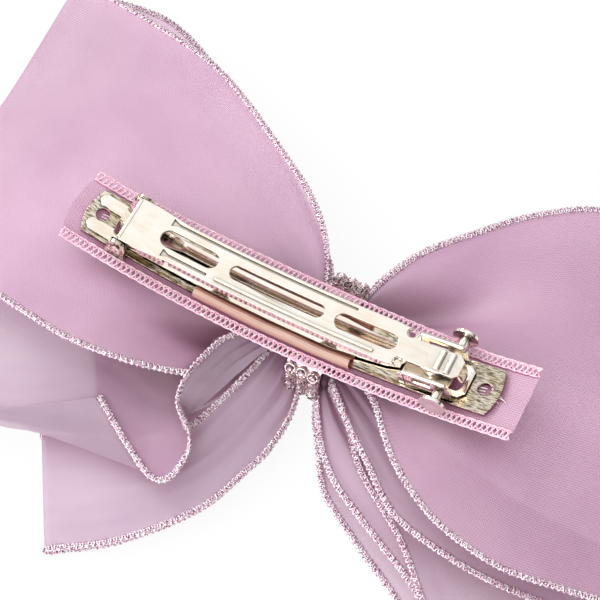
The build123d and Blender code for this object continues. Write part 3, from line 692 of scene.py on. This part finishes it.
fan_near = smooth_line(
    [(2.8, -4, 10), (6.5, -7.4, 10.4), (11, -11.8, 11), (17, -16.9, 12), (25.2, -23.6, 13),
     (34.6, -26.3, 14), (43.2, -27.3, 14.5), (52, -26.9, 14.2), (64, -25, 12), (72, -22, 10)], 80)
fan_far = smooth_line([(3.4, -1, 10.5), (12, -3, 11), (24, -8, 12), (38, -11, 13), (54, -12, 12),
                       (72, -11, 10)], 80)
fan, fan_rows = cloth("middle_loop_right_upper", fan_near, fan_far, 24, 0.4, 0.5, 8, both_ends=False,
                      face=True)
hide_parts("middle_panel_right")
hems_of("middle_loop_right_upper", fan_rows, ("near",))

fan_low_near = smooth_line(
    [(3, -4.6, 8.4), (10.4, -10.6, 7.9), (13.8, -14.8, 7.8), (17.8, -18.6, 7.8), (27.9, -25.6, 7.8),
     (35.5, -33.2, 7.6), (42, -39, 6.8), (46, -43, 5.4)], 70)
fan_low_far = smooth_line([(4, -2, 9), (16, -8, 9.2), (26, -13, 9.4), (38, -16, 9.4), (50, -19, 8.6),
                           (58, -20, 7)], 70)
fan_low, fan_low_rows = cloth("middle_loop_right_lower", fan_low_near, fan_low_far, 30, 0.4, 0.6, 9,
                              both_ends=False, face=True)
hems_of("middle_loop_right_lower", fan_low_rows, ("near",))

# ---------------------------------------------------------------- right lower loop
# The right-hand partner of the left lower loop, resting on the floor. Only the strip of it that
# shows is made, with a hem on both edges.

low_right_near = loop_line(
    [(1.8, -5, 8), (3.2, -8.4, 6.2), (6.7, -14.4, 6), (12.2, -20.2, 6), (19.4, -24.4, 6), (25.3, -27.4, 6),
     (35.4, -33, 5.8), (47, -43.5, 3.4)],
    [(1.6, -5, 5.5), (3.6, -10.2, 2.4), (7, -15.4, 2), (9.2, -19, 2), (12.6, -22.8, 1.9),
     (22.3, -28.6, 1.7), (32, -34, 1.4), (47, -45, 1.2)],
    (1.2, -0.6, 0))
low_right_far = loop_line(
    [(3, -2.5, 8.6), (18, -5, 7.4), (38, -8.5, 6.2), (58, -12, 4)],
    [(3, -3, 6), (18, -6, 2.6), (38, -9, 1.6), (58, -12.5, 1.4)],
    (1.6, 0, 0))
low_right, low_right_rows = cloth("lower_loop_right_cloth", low_right_near, low_right_far, 40, 0.7, 0.6,
                                  10, face=True)
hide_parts("lower_loop_right")
hems_of("lower_loop_right", low_right_rows)

# ---------------------------------------------------------------- gathered centre
# Where all the layers are pinched together: a short bundle of ribbon, pleated lengthwise by the
# band round it, opening out a little at each end.

knot_low, knot_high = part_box("gathered_centre")
knot_middle = (knot_low + knot_high) / 2
knot_half = (knot_high - knot_low) / 2
knot_rows, knot_ring = 19, 144
knot_points, knot_uvs = [], []
for i in range(knot_rows):
    x = 2 * i / (knot_rows - 1) - 1
    flare = 0.90 + 0.08 * x * x
    for j in range(knot_ring):
        angle = 2 * pi * j / knot_ring
        pleats = 1 - 0.045 * abs(sin(11 * angle + 0.5 * x)) - 0.02 * sin(5 * angle + 1)
        y = knot_half.y * flare * pleats * abs(cos(angle)) ** 0.75 * (1 if cos(angle) > 0 else -1)
        z = knot_half.z * flare * pleats * abs(sin(angle)) ** 0.75 * (1 if sin(angle) > 0 else -1)
        knot_points.append(knot_middle + Vector((knot_half.x * x, y, z)))
        knot_uvs.append((knot_half.x * x, ribbon_width * j / knot_ring))
knot_faces = grid_faces(knot_rows, knot_ring, closed=True)
knot_faces.append(tuple(range(knot_ring)))
knot_faces.append(tuple(reversed(range(len(knot_points) - knot_ring, len(knot_points)))))
knot = mesh_piece("gathered_centre_cloth", knot_points, knot_faces, bow_organza, knot_uvs)
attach(knot, "bow_and_base")
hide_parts("gathered_centre")

# ---------------------------------------------------------------- rhinestone band
# A band of bright woven metal mesh closed round the bundle, with rows of small cut-glass stones
# in claw cups at both ends and on the front, and one large oval stone in the middle of the front.


def mesh_metal(name, cell_mm, dark_colour, light_colour):
    """Nickel-plated brass mesh or cups: bright on the wires, with painted shade, nearly black, in the
    openings between them.
    """
    material = new_material(name)
    tree = material.node_tree
    place = add_node(tree, "ShaderNodeTexCoord")
    cells = add_node(tree, "ShaderNodeTexVoronoi",
                     {"feature": "DISTANCE_TO_EDGE", "Scale": 1 / (cell_mm * MM)},
                     {"Vector": place.outputs["Object"]})
    # painted shade: the cells between the wires are drawn dark
    tint = add_node(tree, "ShaderNodeValToRGB", {}, {"Fac": cells.outputs["Distance"]})
    colour_stops(tint, [(0.14, light_colour), (0.40, dark_colour)])
    bump = add_node(tree, "ShaderNodeBump", {"Strength": 0.9, "Distance": 0.15 * MM, "invert": True},
                    {"Height": cells.outputs["Distance"]})
    shader = add_node(tree, "ShaderNodeBsdfPrincipled", {"Metallic": 1.0, "Roughness": 0.22},
                      {"Base Color": tint.outputs["Color"], "Normal": bump.outputs["Normal"]})
    add_node(tree, "ShaderNodeOutputMaterial", {}, {"Surface": shader.outputs[0]})
    return material


def cut_glass(name):
    """Foiled cut glass: a mirror-backed stone, so it is drawn as a bright metal with a clear hard coat, its
    facets toned from dark to white as painted reflections.
    """
    material = new_material(name)
    tree = material.node_tree
    place = add_node(tree, "ShaderNodeTexCoord")
    facets = add_node(tree, "ShaderNodeTexVoronoi", {"Scale": 1 / (0.55 * MM)},
                      {"Vector": place.outputs["Object"]})
    # painted reflections: each facet gets a fixed tone between dark mauve and white, standing in for bright
    # and dark glints
    tint = add_node(tree, "ShaderNodeValToRGB", {}, {"Fac": facets.outputs["Color"]})
    colour_stops(tint, [(0.2, "#8E6A78"), (0.5, "#E8CBD6"), (0.8, "#FFFFFF")])
    bump = add_node(tree, "ShaderNodeBump", {"Strength": 0.8, "Distance": 0.1 * MM},
                    {"Height": facets.outputs["Distance"]})
    shader = add_node(tree, "ShaderNodeBsdfPrincipled",
                      {"Metallic": 0.85, "Roughness": 0.06, "Coat Weight": 1.0},
                      {"Base Color": tint.outputs["Color"], "Normal": bump.outputs["Normal"]})
    add_node(tree, "ShaderNodeOutputMaterial", {}, {"Surface": shader.outputs[0]})
    return material


wire_mesh = mesh_metal("nickel_plated_wire_mesh", 0.7, "#2E2026", "#CFB4B8")
claw_cup = mesh_metal("nickel_plated_claw_cup", 0.5, "#5B454B", "#FAECEC")
glass = cut_glass("foiled_cut_glass")
for part, finish in (("rhinestone_band", wire_mesh), ("stone_cups", claw_cup), ("small_stones", glass),
                     ("centre_stone", glass)):
    trim_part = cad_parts[part]
    trim_part.data.materials.clear()
    trim_part.data.materials.append(finish)
